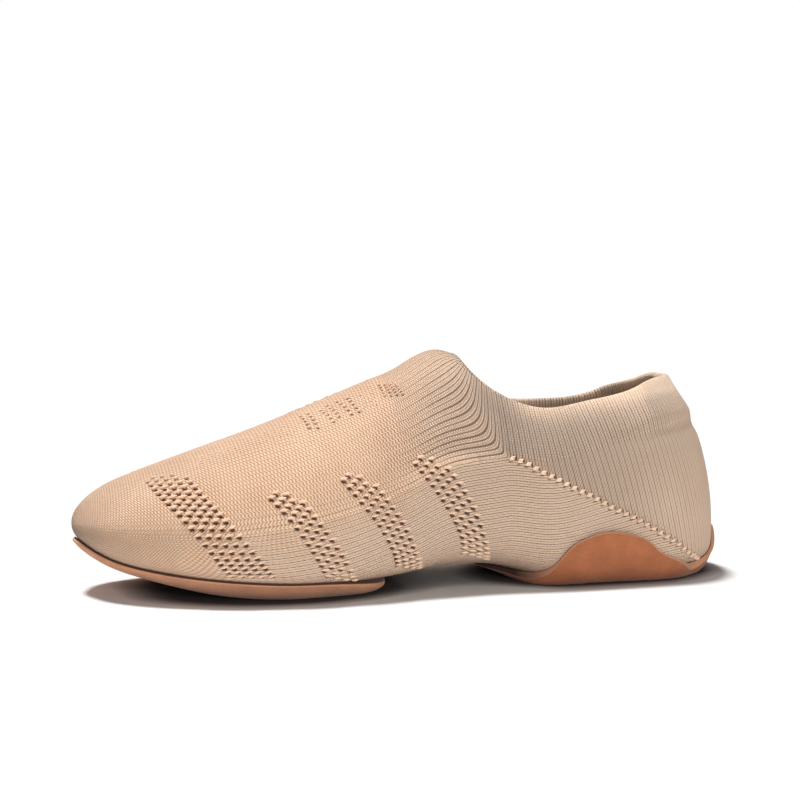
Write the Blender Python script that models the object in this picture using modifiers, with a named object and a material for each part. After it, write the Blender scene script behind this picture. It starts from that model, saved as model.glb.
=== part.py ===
"""A left dance sneaker: a knitted slip-on with a split sole of two suede pads.

Sizes are in metres. The toe points along -X, the outer side of the foot lies at -Y and the floor is
at Z 0, with the origin in the middle of the heel pad's flat spot. Every piece is cut from one form,
the knit's outer face: a last told by half-sections, which turn round the heel like a fan and then
follow one another to the toe.
"""

import bmesh
import bpy
import numpy as np

# The foot's own sizes.
LENGTH = 0.242
BALL_WIDTH = 0.082
INSTEP_HEIGHT = 0.088
HEEL_CENTRE = 0.860

# The collar's opening in plan, from its front to its back as shares of the length.
OPENING_FRONT = 0.583
OPENING_BACK = 0.925
OPENING_WIDTH = 0.044
OPENING_SHIFT = 0.001

# Extra sections round the throat's front, where the opening widens fast.
THROAT_STEPS = np.array([0.0, 0.02, 0.08, 0.2])

# Thicknesses and the gap between pieces.
KNIT = 0.0018
RIM = 0.0007
SEAM = 0.0009
SOLE = 0.0045
WING = 0.0013
PRESS = 0.0006
INSOLE = 0.0020
CLEARANCE = 0.0003
BED = SOLE + CLEARANCE

# Degrees over which a pad or the insole thins to its edge.
EDGE_ROUNDING = 14

# Half-sections from the heel's back to the toe. at: share of the length from the toe. turn: degrees
# that the half-section is turned to the heel. middle, outer, inner: shares of the ball width. low,
# widest, top: heights over the bed as shares of the instep height. under, over: how square the
# curve is below and above the widest place. The first and the last row only steer the curve.
FORM_COLUMNS = "at turn middle outer inner low widest top under over".split()
FORM = np.array([
    (0.860, 135, 0.000, 0.412, 0.412, -0.022, 0.155, 0.905, 4.6, 1.9),
    (0.860, 90, 0.000, 0.415, 0.415, -0.022, 0.150, 0.872, 5.0, 1.9),
    (0.860, 45, 0.000, 0.412, 0.412, -0.022, 0.155, 0.905, 4.6, 1.9),
    (0.860, 0, 0.000, 0.405, 0.405, -0.022, 0.180, 0.883, 4.2, 2.0),
    (0.780, 0, 0.000, 0.415, 0.415, -0.022, 0.205, 0.836, 3.8, 2.0),
    (0.700, 0, 0.010, 0.415, 0.420, -0.030, 0.225, 0.803, 3.6, 2.0),
    (0.620, 0, 0.020, 0.405, 0.420, 0.018, 0.240, 0.866, 3.0, 1.9),
    (0.540, 0, 0.030, 0.400, 0.420, 0.022, 0.240, 0.899, 3.0, 1.9),
    (0.460, 0, 0.020, 0.425, 0.440, 0.002, 0.230, 0.805, 4.0, 2.0),
    (0.370, 0, 0.010, 0.475, 0.475, 0.000, 0.210, 0.71, 5.2, 2.0),
    (0.280, 0, 0.010, 0.490, 0.485, 0.000, 0.200, 0.617, 5.2, 2.0),
    (0.190, 0, 0.030, 0.460, 0.470, 0.016, 0.200, 0.532, 4.6, 2.0),
    (0.110, 0, 0.070, 0.398, 0.398, 0.050, 0.205, 0.453, 4.0, 2.0),
    (0.050, 0, 0.100, 0.298, 0.298, 0.092, 0.215, 0.385, 3.4, 2.0),
    (0.013, 0, 0.120, 0.168, 0.168, 0.155, 0.228, 0.304, 2.6, 2.0),
    (0.000, 0, 0.125, 0.000, 0.000, 0.226, 0.226, 0.226, 2.2, 2.0),
    (0.013, 0, 0.130, -0.168, -0.168, 0.297, 0.224, 0.148, 2.0, 2.0),
])
HEEL_BACK = 0
FAN_END = 2
TOE_TIP = len(FORM) - 3

# The raised seam of the heel turn, from the heel's back: station on the form, angle on the
# half-section and how far it stands out as a share of its full height.
SEAM_PATH = np.array([
    (-0.8, -40, 0.0),
    (0.0, -44, 0.0),
    (0.9, -38, 0.0),
    (1.2, -28, 1.0),
    (1.6, -10, 1.0),
    (2.5, 4, 1.0),
    (3.7, 14, 1.0),
    (4.9, 24, 0.6),
    (6.0, 26, 0.0),
    (10.0, 18, 0.0),
    (14.0, 5, 0.0),
    (18.0, -5, 0.0),
])

# Each pad's edge: station on the form, then the angle of the edge on the outer and the inner side
# and the thickness as a share of the sole. The first and the last row only steer the curve.
HEEL_EDGE = np.array([
    (-0.35, -3, -3, 1.0),
    (0.0, -1, -1, 1.0),
    (0.35, -3, -3, 1.0),
    (0.7, -28, -28, 1.0),
    (1.1, -46, -46, 1.0),
    (1.6, -22, -22, 1.0),
    (2.2, -5, -5, 1.0),
    (2.8, -1, -1, 1.0),
    (3.4, -4, -4, 1.0),
    (3.8, -15, -14, 1.0),
    (4.1, -46, -42, 0.9),
    (4.45, -74, -72, 0.6),
    (4.85, -83, -83, 0.4),
    (5.0, -90, -90, 0.35),
    (5.1, -90, -90, 0.35),
])
FOREFOOT_EDGE = np.array([
    (6.9, -90, -90, 0.5),
    (7.0, -90, -90, 0.6),
    (7.15, -74, -76, 0.8),
    (7.6, -56, -60, 1.0),
    (8.3, -42, -46, 1.0),
    (9.1, -38, -38, 1.0),
    (9.9, -38, -38, 0.9),
    (10.7, -42, -42, 0.65),
    (11.5, -48, -48, 0.45),
    (12.3, -54, -54, 0.32),
    (12.9, -60, -60, 0.26),
    (13.2, -68, -68, 0.22),
    (13.35, -90, -90, 0.2),
    (13.45, -90, -90, 0.2),
])
INSOLE_EDGE = np.array([
    (-1.0, -52, -52, 1.0),
    (0.0, -50, -50, 1.0),
    (1.0, -52, -52, 1.0),
    (3.0, -56, -56, 1.0),
    (5.0, -58, -58, 1.0),
    (7.0, -58, -58, 1.0),
    (9.0, -56, -56, 1.0),
    (10.5, -60, -60, 1.0),
    (11.6, -68, -68, 1.0),
    (12.5, -80, -80, 1.0),
    (12.8, -90, -90, 1.0),
    (13.0, -90, -90, 1.0),
])


def read(table, place):
    """A table's values at a place between its rows, on a smooth curve through them."""
    place = np.asarray(place, float)
    first = np.clip(np.floor(place).astype(int), 0, len(table) - 4)
    part = (place - first)[..., None]
    a, b, c, d = (table[first + step] for step in range(4))
    cubic = 2 * a - 5 * b + 4 * c - d + part * (3 * (b - c) + d - a)
    return b + part / 2 * (c - a + part * cubic)


def form(station, side, angle):
    """Points of the knit's outer face. side is -1 outside and 1 inside, angle -90 below to 90 on top."""
    columns = dict(zip(FORM_COLUMNS, np.moveaxis(read(FORM, station), -1, 0)))
    bend = np.radians(angle)
    below = np.asarray(angle) < 0
    power = 2 / np.where(below, columns["under"], columns["over"])
    width = np.where(np.asarray(side) < 0, columns["outer"], columns["inner"]) * BALL_WIDTH
    reach = width * np.clip(np.cos(bend), 0, 1) ** power
    end = np.where(below, columns["low"], columns["top"])
    height = columns["widest"] + (end - columns["widest"]) * np.abs(np.sin(bend)) ** power
    turn = np.radians(np.maximum(columns["turn"], 0))
    along = np.minimum(columns["at"] - HEEL_CENTRE, 0) * LENGTH
    return np.stack([
        along + reach * np.sin(turn),
        columns["middle"] * BALL_WIDTH + side * reach * np.cos(turn),
        BED + height * INSTEP_HEIGHT,
    ], -1)


def outward(station, side, angle, step=0.02):
    """The form's outward normals. Where its lines run together it points down or ahead."""
    station, side, angle = np.broadcast_arrays(station, side, np.asarray(angle, float))
    ahead = np.minimum(station + step, TOE_TIP)
    along = form(ahead, side, angle) - form(station - step, side, angle)
    low = np.where(angle < 0, angle, angle - 1)
    mirrored = np.where(angle > -90, side, -side)
    start = np.where(angle > -90, low, angle + 1)
    over = form(station, side, low + 1) - form(station, mirrored, start)
    normal = -np.cross(over, along) * side[..., None]
    size = np.linalg.norm(normal, axis=-1, keepdims=True)
    at_toe = (station > TOE_TIP - step)[..., None]
    normal = np.where(size > 1e-10, normal / np.maximum(size, 1e-10), (0.0, 0.0, -1.0))
    return np.where(at_toe, (-1.0, 0.0, 0.0), normal)


def rim_angle(station, side):
    """The angle where each half-section meets the collar's opening, or 90 where it closes on top."""
    middle = ((OPENING_FRONT + OPENING_BACK) / 2 - HEEL_CENTRE) * LENGTH
    half = (OPENING_BACK - OPENING_FRONT) * LENGTH / 2
    low, high = np.zeros(np.shape(station)), np.full(np.shape(station), 90.0)
    for _ in range(30):
        angle = (low + high) / 2
        point = form(station, side, angle)
        ahead = (point[..., 0] - middle) / half
        beside = (point[..., 1] - OPENING_SHIFT) / (OPENING_WIDTH / 2)
        oval = np.abs(ahead) ** 3 + np.abs(beside) ** 2.9
        low, high = np.where(oval < 1, low, angle), np.where(oval < 1, angle, high)
    return high


def material(name, colour, roughness):
    """A plain Principled material."""
    made = bpy.data.materials.new(name)
    made.use_nodes = True
    shader = made.node_tree.nodes["Principled BSDF"]
    shader.inputs["Base Color"].default_value = (*colour, 1)
    shader.inputs["Roughness"].default_value = roughness
    return made


def sheet(bm, points, flip):
    """Quads over a grid of points."""
    made = [[bm.verts.new(point) for point in row] for row in points]
    for row, after in zip(made, made[1:]):
        for corner in range(len(row) - 1):
            quad = [row[corner], row[corner + 1], after[corner + 1], after[corner]]
            bm.faces.new(quad[::-1] if flip else quad)
    return made


def piece(name, bm, finish):
    """Merges the grid's doubled points and puts the piece in the object's collection."""
    bmesh.ops.remove_doubles(bm, verts=bm.verts, dist=1e-5)
    bmesh.ops.recalc_face_normals(bm, faces=bm.faces)
    mesh = bpy.data.meshes.new(name)
    bm.to_mesh(mesh)
    bm.free()
    mesh.materials.append(finish)
    made = bpy.data.objects.new(name, mesh)
    shoe.objects.link(made)
    return made


def slab(name, near, far, finish):
    """A closed solid between two grids whose first and last rows each close on themselves."""
    bm = bmesh.new()
    lower, upper = sheet(bm, near, True), sheet(bm, far, False)
    for column, flip in ((0, False), (-1, True)):
        for row in range(len(lower) - 1):
            quad = [lower[row], upper[row], upper[row + 1], lower[row + 1]]
            rim = [grid_row[column] for grid_row in quad]
            bm.faces.new(rim[::-1] if flip else rim)
    return piece(name, bm, finish)


def across(edges, steps, count):
    """A grid inside an edge table: stations, sides, angles, how round it is at the edge and thickness."""
    place = np.linspace(0, len(edges) - 3, (len(edges) - 3) * steps + 1)
    station, outer, inner, thick = np.moveaxis(read(edges, place), -1, 0)
    share = np.linspace(-1, 1, 2 * count + 1)[None, :]
    share = np.sign(share) * np.abs(share) ** 0.7
    side = np.where(share < 0, -1, 1)
    edge = np.where(share < 0, outer[:, None], inner[:, None])
    angle = -90 + np.abs(share) * (np.maximum(edge, -90) + 90)
    inset = np.clip((np.maximum(edge, -90) - angle) / EDGE_ROUNDING, 0, 1)
    full = np.sqrt(1 - (1 - inset) ** 2)
    return np.broadcast_arrays(station[:, None], side, angle, full, thick[:, None])


def make_upper():
    """The knit: one wall over the whole form, open at the collar, with a rolled rim and a raised seam."""
    turning = np.linspace(HEEL_BACK, FAN_END, FAN_END * 6 + 1)
    straight = np.linspace(FAN_END, TOE_TIP, (TOE_TIP - FAN_END) * 3 + 1)[1:]
    places = np.linspace(FAN_END, TOE_TIP, 2000)
    throat = places[np.argmax(read(FORM, places)[:, 0] < OPENING_FRONT)]
    straight = straight[np.abs(straight - throat) > 0.25]
    station = np.sort(np.concatenate([turning, straight, throat - THROAT_STEPS]))[:, None]
    seam_station, seam_angle, seam_share = SEAM_PATH[1:-1].T
    seam = np.interp(station, seam_station, seam_angle)
    below = np.linspace(0, 1, 8)[None, :-1]
    ridge = np.array([-2.5, 0.0, 2.5])[None, :]
    above = np.array([0.08, 0.16, 0.26, 0.38, 0.52, 0.67, 0.82, 0.93, 0.96, 0.985, 1.0])[None, :]
    roll = np.array([0, 0, 0, 0, 0, 0, 0, 0, 0.8, 1.0, 0.4])[None, :]
    halves = []
    for side in (-1, 1):
        top = rim_angle(station, side)
        first, last = seam + ridge[:, :1], seam + ridge[:, -1:]
        angle = np.hstack([-90 + below * (first + 90), seam + ridge, last + above * (top - last)])
        stands = np.interp(station, seam_station, seam_share) * SEAM
        out = np.hstack([
            np.zeros((len(station), below.size)),
            stands * np.array([[0, 1, 0]]),
            roll * RIM * (top < 89.9),
        ])
        spread = np.broadcast_to(station, angle.shape)
        points = form(spread, side, angle) + outward(spread, side, angle) * out[..., None]
        halves.append(points)
    outer, inner = halves
    bm = bmesh.new()
    sheet(bm, np.concatenate([outer[:, ::-1], inner[:, 1:]], axis=1), False)
    upper = piece("upper", bm, material("knit", (0.55, 0.38, 0.27), 0.9))
    wall = upper.modifiers.new("Wall", "SOLIDIFY")
    wall.thickness = KNIT
    wall.offset = -1
    return upper


def make_pad(name, edges, steps, turn_up, finish):
    """A suede pad under the knit: full below, thin where it turns up the side, pressed flat on the floor."""
    station, side, angle, full, thick = across(edges, steps, 8)
    turned = np.clip((angle - turn_up) / 40, 0, 1)
    turned = turned * turned * (3 - 2 * turned)
    body = SOLE * thick * (0.5 + 0.5 * full)
    depth = body + (np.minimum(WING, body) - body) * turned
    face, normal = form(station, side, angle), outward(station, side, angle)
    near = face + normal * CLEARANCE
    far = face + normal * (CLEARANCE + depth + PRESS * (1 - turned))[..., None]
    far[..., 2] = np.maximum(far[..., 2], 0)
    return slab(name, near, far, finish)


def make_insole():
    """The thin insole, which lies inside on the knit."""
    station, side, angle, full, thick = across(INSOLE_EDGE, 6, 4)
    face, normal = form(station, side, angle), outward(station, side, angle)
    near = face - normal * (KNIT + CLEARANCE)
    far = near - normal * (INSOLE * thick * (0.5 + 0.5 * full))[..., None]
    return slab("insole", near, far, material("lining", (0.50, 0.36, 0.26), 0.95))


for old in list(bpy.data.objects):
    bpy.data.objects.remove(old, do_unlink=True)
shoe = bpy.data.collections.new("dance_sneaker")
bpy.context.scene.collection.children.link(shoe)
suede = material("suede", (0.32, 0.15, 0.085), 0.95)
make_upper()
make_pad("sole_heel", HEEL_EDGE, 3, -62, suede)
make_pad("sole_forefoot", FOREFOOT_EDGE, 2, -78, suede)
make_insole()
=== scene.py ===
"""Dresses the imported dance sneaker: a knitted slip-on on a split sole of two suede pads.

Sizes are in metres. The toe points along -X, the outer side of the foot lies at -Y, the floor is Z 0.
"""

import math

import bmesh
import bpy
import numpy as np
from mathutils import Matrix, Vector


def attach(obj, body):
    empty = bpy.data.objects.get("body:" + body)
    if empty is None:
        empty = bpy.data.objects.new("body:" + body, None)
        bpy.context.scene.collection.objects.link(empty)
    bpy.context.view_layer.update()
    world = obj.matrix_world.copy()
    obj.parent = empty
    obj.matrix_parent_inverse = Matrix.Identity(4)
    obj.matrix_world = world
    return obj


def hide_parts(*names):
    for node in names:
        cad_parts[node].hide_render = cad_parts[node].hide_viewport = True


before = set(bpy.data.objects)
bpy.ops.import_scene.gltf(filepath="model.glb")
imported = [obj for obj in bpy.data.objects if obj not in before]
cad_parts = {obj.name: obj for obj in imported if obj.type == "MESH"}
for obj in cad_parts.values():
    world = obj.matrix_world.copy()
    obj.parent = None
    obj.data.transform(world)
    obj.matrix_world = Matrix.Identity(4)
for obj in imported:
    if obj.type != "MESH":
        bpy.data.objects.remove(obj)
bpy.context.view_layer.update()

# The knit
# One engineered knit covers the foot from the sole to a rolled collar. Its last is told by
# half-sections that fan round the heel and then follow one another to the toe, as in the solids.
LENGTH = 0.242
BALL_WIDTH = 0.082
INSTEP_HEIGHT = 0.088
HEEL_CENTRE = 0.860
OPENING_FRONT = 0.583
OPENING_BACK = 0.925
OPENING_WIDTH = 0.044
OPENING_SHIFT = 0.001
OPENING_SQUARENESS = 3, 2.9
KNIT = 0.0018
BED = 0.0048
FORM_COLUMNS = "at turn middle outer inner low widest top under over".split()
FORM = np.array([
    (0.860, 135, 0.000, 0.412, 0.412, -0.022, 0.155, 0.905, 4.6, 1.9),
    (0.860, 90, 0.000, 0.415, 0.415, -0.022, 0.150, 0.872, 5.0, 1.9),
    (0.860, 45, 0.000, 0.412, 0.412, -0.022, 0.155, 0.905, 4.6, 1.9),
    (0.860, 0, 0.000, 0.405, 0.405, -0.022, 0.180, 0.883, 4.2, 2.0),
    (0.780, 0, 0.000, 0.415, 0.415, -0.022, 0.205, 0.836, 3.8, 2.0),
    (0.700, 0, 0.010, 0.415, 0.420, -0.030, 0.225, 0.803, 3.6, 2.0),
    (0.620, 0, 0.020, 0.405, 0.420, 0.018, 0.240, 0.866, 3.0, 1.9),
    (0.540, 0, 0.030, 0.400, 0.420, 0.022, 0.240, 0.899, 3.0, 1.9),
    (0.460, 0, 0.020, 0.425, 0.440, 0.002, 0.230, 0.805, 4.0, 2.0),
    (0.370, 0, 0.010, 0.475, 0.475, 0.000, 0.210, 0.71, 5.2, 2.0),
    (0.280, 0, 0.010, 0.490, 0.485, 0.000, 0.200, 0.617, 5.2, 2.0),
    (0.190, 0, 0.030, 0.460, 0.470, 0.016, 0.200, 0.532, 4.6, 2.0),
    (0.110, 0, 0.070, 0.398, 0.398, 0.050, 0.205, 0.453, 4.0, 2.0),
    (0.050, 0, 0.100, 0.298, 0.298, 0.092, 0.215, 0.385, 3.4, 2.0),
    (0.013, 0, 0.120, 0.168, 0.168, 0.155, 0.228, 0.304, 2.6, 2.0),
    (0.000, 0, 0.125, 0.000, 0.000, 0.226, 0.226, 0.226, 2.2, 2.0),
    (0.013, 0, 0.130, -0.168, -0.168, 0.297, 0.224, 0.148, 2.0, 2.0),
])
TOE_TIP = len(FORM) - 3

# The inner side's collar sags by some degrees: how far, at which station, and how wide behind and ahead.
SAG, SAG_AT, SAG_BEHIND, SAG_AHEAD = 3.3, 1.6, 0.65, 1.7

# The seam of the heel turn: station on the form and share of the way up its girth.
SEAM_PATH = np.array([
    (0.0, 0.232), (0.96, 0.251), (1.30, 0.280), (1.54, 0.317), (1.81, 0.352), (2.22, 0.382), (2.81, 0.440),
    (3.41, 0.502), (3.98, 0.555), (4.56, 0.587), (4.91, 0.591),
])

# The openwork: rows, holes to a row, the holes' size, and some of the rows, each from its front hole's
# station and share of the girth to its back hole's. Four bands run down each side of the foot, and
# smaller patches lie beside the ridge of the instep. The first rows of the toe's band are fainter.
FAINT_ROWS = 3
FAINT_BY = 0.45
OPENWORK = [
    (19, 5, 1.0, [(11.21, 0.865, 10.54, 0.810), (11.02, 0.702, 10.34, 0.665), (10.67, 0.568, 10.01, 0.555),
                  (10.22, 0.437, 9.57, 0.434), (9.93, 0.358, 9.29, 0.358)]),
    (13, 4, 1.0, [(9.35, 0.637, 8.86, 0.603), (9.09, 0.563, 8.60, 0.528), (8.80, 0.479, 8.31, 0.448),
                  (8.55, 0.400, 8.06, 0.366), (8.38, 0.336, 7.86, 0.279)]),
    (15, 4, 1.0, [(8.14, 0.643, 7.60, 0.594), (7.82, 0.551, 7.27, 0.502), (7.46, 0.450, 6.96, 0.404),
                  (7.20, 0.355, 6.74, 0.303), (7.10, 0.297, 6.61, 0.232)]),
    (15, 4, 1.0, [(6.83, 0.622, 6.19, 0.567), (6.45, 0.522, 5.83, 0.478), (6.11, 0.426, 5.55, 0.390),
                  (5.85, 0.337, 5.36, 0.293), (5.74, 0.262, 5.26, 0.223)]),
    (5, 2, 0.6, [(8.41, 0.936, 8.29, 0.932), (8.40, 0.847, 8.27, 0.832)]),
    (5, 2, 0.6, [(8.09, 0.921, 7.96, 0.933), (7.99, 0.835, 7.88, 0.848)]),
    (5, 2, 0.6, [(7.79, 0.932, 7.63, 0.924), (7.68, 0.838, 7.55, 0.836)]),
    (4, 3, 0.3, [(7.42, 0.913, 7.23, 0.894), (7.42, 0.847, 7.25, 0.837)]),
    (5, 4, 0.45, [(7.07, 0.925, 6.81, 0.892), (7.06, 0.861, 6.75, 0.838)]),
    (4, 6, 0.30, [(9.26, 0.923, 8.73, 0.917), (9.22, 0.863, 8.66, 0.857)]),
    (4, 6, 0.30, [(10.23, 0.903, 9.61, 0.900), (10.15, 0.848, 9.54, 0.845)]),
]


def read(table, place):
    """A table's values at a place between its rows, on a smooth curve through them."""
    place = np.asarray(place, float)
    first = np.clip(np.floor(place).astype(int), 0, len(table) - 4)
    part = (place - first)[..., None]
    a, b, c, d = (table[first + step] for step in range(4))
    cubic = 2 * a - 5 * b + 4 * c - d + part * (3 * (b - c) + d - a)
    return b + part / 2 * (c - a + part * cubic)


def form(station, side, angle):
    """Points of the knit's outer face. side is -1 outside and 1 inside, angle -90 below to 90 on top."""
    columns = dict(zip(FORM_COLUMNS, np.moveaxis(read(FORM, station), -1, 0)))
    bend = np.radians(angle)
    below = np.asarray(angle) < 0
    power = 2 / np.where(below, columns["under"], columns["over"])
    width = np.where(np.asarray(side) < 0, columns["outer"], columns["inner"]) * BALL_WIDTH
    reach = width * np.clip(np.cos(bend), 0, 1) ** power
    end = np.where(below, columns["low"], columns["top"])
    height = columns["widest"] + (end - columns["widest"]) * np.abs(np.sin(bend)) ** power
    turn = np.radians(np.maximum(columns["turn"], 0))
    along = np.minimum(columns["at"] - HEEL_CENTRE, 0) * LENGTH
    return np.stack([
        along + reach * np.sin(turn),
        columns["middle"] * BALL_WIDTH + side * reach * np.cos(turn),
        BED + height * INSTEP_HEIGHT,
    ], -1)


def outward(station, side, angle, step=0.02):
    """The form's outward normals. Where its lines run together it points down or ahead."""
    station, side, angle = np.broadcast_arrays(station, side, np.asarray(angle, float))
    ahead = np.minimum(station + step, TOE_TIP)
    along = form(ahead, side, angle) - form(station - step, side, angle)
    low = np.where(angle < 0, angle, angle - 1)
    mirrored = np.where(angle > -90, side, -side)
    start = np.where(angle > -90, low, angle + 1)
    over = form(station, side, low + 1) - form(station, mirrored, start)
    normal = -np.cross(over, along) * side[..., None]
    size = np.linalg.norm(normal, axis=-1, keepdims=True)
    at_toe = (station > TOE_TIP - step)[..., None]
    normal = np.where(size > 1e-10, normal / np.maximum(size, 1e-10), (0.0, 0.0, -1.0))
    return np.where(at_toe, (-1.0, 0.0, 0.0), normal)


def rim_angle(station, side):
    """The angle where each half-section meets the collar's opening, or 90 where it closes on top."""
    middle = ((OPENING_FRONT + OPENING_BACK) / 2 - HEEL_CENTRE) * LENGTH
    half = (OPENING_BACK - OPENING_FRONT) * LENGTH / 2
    low, high = np.zeros(np.shape(station)), np.full(np.shape(station), 90.0)
    for _ in range(30):
        angle = (low + high) / 2
        point = form(station, side, angle)
        ahead = (point[..., 0] - middle) / half
        beside = (point[..., 1] - OPENING_SHIFT) / (OPENING_WIDTH / 2)
        oval = np.abs(ahead) ** OPENING_SQUARENESS[0] + np.abs(beside) ** OPENING_SQUARENESS[1]
        low, high = np.where(oval < 1, low, angle), np.where(oval < 1, angle, high)
    spread = np.where(np.asarray(station) < SAG_AT, SAG_BEHIND, SAG_AHEAD)
    sag = SAG * np.exp(-((station - SAG_AT) / spread) ** 2) * (np.asarray(side) > 0)
    return high - sag * (high < 89)


# Each section's girth, measured once, so that a place on the knit is a station and a share of the girth.
girth_stations = np.linspace(0, TOE_TIP, 351)
quarter = 90 * (1 - np.cos(np.linspace(0, np.pi, 181))) / 2
girth_angles = np.concatenate([quarter[:-1] - 90, quarter])
ring = form(girth_stations[:-1, None], -1, girth_angles[None, :])
ring = np.concatenate([ring, form(np.full((1, 1), TOE_TIP - 0.004), -1, girth_angles[None, :])])
ring_arc = np.cumsum(np.linalg.norm(np.diff(ring, axis=1), axis=-1), axis=1)
ring_share = np.hstack([np.zeros((len(ring), 1)), ring_arc / ring_arc[:, -1:]])
even_shares = np.linspace(0, 1, 1001)
share_to_angle = np.array([np.interp(even_shares, row, girth_angles) for row in ring_share])
girth = ring_arc[:, -1]


def angle_at(station, share):
    """The form's angle at a share of a section's girth."""
    station, share = np.broadcast_arrays(station, share)
    row = np.clip(station / TOE_TIP, 0, 1) * (len(share_to_angle) - 1)
    column = np.clip(share, 0, 1) * (len(even_shares) - 1)
    row_low = np.minimum(row.astype(int), len(share_to_angle) - 2)
    column_low = np.minimum(column.astype(int), len(even_shares) - 2)
    row_part, column_part = row - row_low, column - column_low
    near = share_to_angle[row_low, column_low] * (1 - column_part)
    near = near + share_to_angle[row_low, column_low + 1] * column_part
    far = share_to_angle[row_low + 1, column_low] * (1 - column_part)
    far = far + share_to_angle[row_low + 1, column_low + 1] * column_part
    return near * (1 - row_part) + far * row_part


def share_at(station, angle):
    """The share of a section's girth at an angle of the form."""
    rows = np.rint(np.clip(station / TOE_TIP, 0, 1) * (len(ring_share) - 1)).astype(int)
    return np.array([np.interp(a, girth_angles, ring_share[row]) for a, row in zip(angle, rows)])


def place(station, side, share):
    """Points and outward normals on the knit."""
    angle = angle_at(station, share)
    return form(station, side, angle), outward(station, side, angle)


# The sections of the mesh are even along the foot, and close together where the throat opens.
places = np.linspace(2, TOE_TIP, 4000)
throat = places[np.argmax(read(FORM, places)[:, 0] < OPENING_FRONT)]
opening_steps = throat - 0.7 * np.linspace(0, 1, 13) ** 2.4
sections = np.concatenate([np.linspace(0, 2, 37), np.linspace(2, TOE_TIP, 157)[1:]])
sections = sections[(sections < throat - 0.75) | (sections > throat + 0.04)]
sections = np.sort(np.concatenate([sections, opening_steps]))
OUTER_LEVELS = 70
INNER_LEVELS = 14
ROLL_POINTS = 9


def holes_of(side):
    """Every hole of the openwork on one side: its point, its row's direction, the way out and its size."""
    points, rows, outs, sizes = [], [], [], []
    for band, (row_count, hole_count, size, path) in enumerate(OPENWORK):
        path = np.array(path)
        path = np.vstack([2 * path[0] - path[1], path, 2 * path[-1] - path[-2]])
        for row in range(row_count):
            front_at, front_up, back_at, back_up = read(path, row / (row_count - 1) * (len(path) - 3))
            part = np.arange(hole_count) / (hole_count - 1)
            if row == 0 and size == 1:
                part = part[1:-1]
            station = front_at + (back_at - front_at) * part
            share = front_up + (back_up - front_up) * part
            point, out = place(station, side, share)
            climb = (back_up - front_up) / (front_at - back_at)
            ahead, _ = place(station - 0.05, side, share + 0.05 * climb)
            row_way = ahead - point
            points.append(point)
            rows.append(row_way / np.linalg.norm(row_way, axis=-1, keepdims=True))
            outs.append(out)
            fade = 1 - FAINT_BY * max(0, 1 - row / FAINT_ROWS) * (band == 0)
            sizes.append(np.full(len(part), fade * size))
    return tuple(np.concatenate(values) for values in (points, rows, outs, sizes))


holes = {side: holes_of(side) for side in (-1, 1)}

# The seam of the heel turn: one knot every few millimetres, with a steep slit behind it and a dash below.
SEAM_PITCH = 0.0032
KNOT_TURN, SLIT_TURN, DASH_TURN = 52.0, -42.0, 45.0
SLIT = 0.0014, 0.00042
DASH = 0.0009, 0.00034
seam_walk = np.linspace(1.05, SEAM_PATH[-1, 0], 400)
seam_units, seam_pits = {}, {}
for side in (-1, 1):
    point, out = place(seam_walk, side, np.interp(seam_walk, *SEAM_PATH.T))
    length = np.concatenate([[0], np.cumsum(np.linalg.norm(np.diff(point, axis=0), axis=-1))])
    at = np.interp(np.arange(0.0004, length[-1], SEAM_PITCH), length, seam_walk)
    point, out = place(at, side, np.interp(at, *SEAM_PATH.T))
    beyond, _ = place(at - 0.05, side, np.interp(at - 0.05, *SEAM_PATH.T))
    down = beyond - point
    down /= np.linalg.norm(down, axis=-1, keepdims=True)
    up = -side * np.cross(out, down)
    turns = np.radians([KNOT_TURN, SLIT_TURN, DASH_TURN])
    knot_way, slit_way, dash_way = (math.cos(a) * down + math.sin(a) * up for a in turns)
    seam_units[side] = point, knot_way, out
    seam_pits[side] = [
        (point + 0.0012 * down + 0.0005 * up, slit_way, out, *SLIT),
        (point - 0.0002 * down - 0.0011 * up, dash_way, out, *DASH),
    ]

# A full hole's half length, half width and depth, the depth of the seam's pits as a share of it, and how
# far round a hole the mesh is finer and may sink.
HOLE_HALF_LENGTH = 0.00098
HOLE_HALF_WIDTH = 0.00060
HOLE_DEPTH = 0.0012
SEAM_PIT_SHARE = 0.6
FINE_AROUND = 0.0020
SUNK_AROUND = 0.0026


def near_openwork(centres, side):
    """Whether each point lies near a hole of the openwork."""
    found = np.zeros(len(centres), bool)
    for point in holes[side][0]:
        found |= np.einsum("ij,ij->i", centres - point, centres - point) < FINE_AROUND ** 2
    return found


def openwork_depth(points, side):
    """How far each point sinks into a hole, from 0 to 1."""
    depth = np.zeros(len(points))
    for centres, ways, outs, half_length, half_width in seam_pits[side]:
        for centre, way, out in zip(centres, ways, outs):
            away = points - centre
            near = np.einsum("ij,ij->i", away, away) < SUNK_AROUND ** 2
            away = away[near]
            oval = (away @ way / half_length) ** 2 + (away @ np.cross(out, way) / half_width) ** 2
            depth[near] = np.maximum(depth[near], SEAM_PIT_SHARE * np.exp(-oval ** 1.5))
    for centre, row_way, out, size in zip(*holes[side]):
        away = points - centre
        near = np.einsum("ij,ij->i", away, away) < SUNK_AROUND ** 2
        away = away[near]
        up_way = np.cross(out, row_way)
        along, up = away @ row_way, away @ up_way
        reach = 0.5 + 0.5 * size
        oval = (along / (HOLE_HALF_LENGTH * reach)) ** 2 + (up / (HOLE_HALF_WIDTH * reach)) ** 2
        depth[near] = np.maximum(depth[near], size * np.exp(-oval ** 1.5))
    return depth


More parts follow.
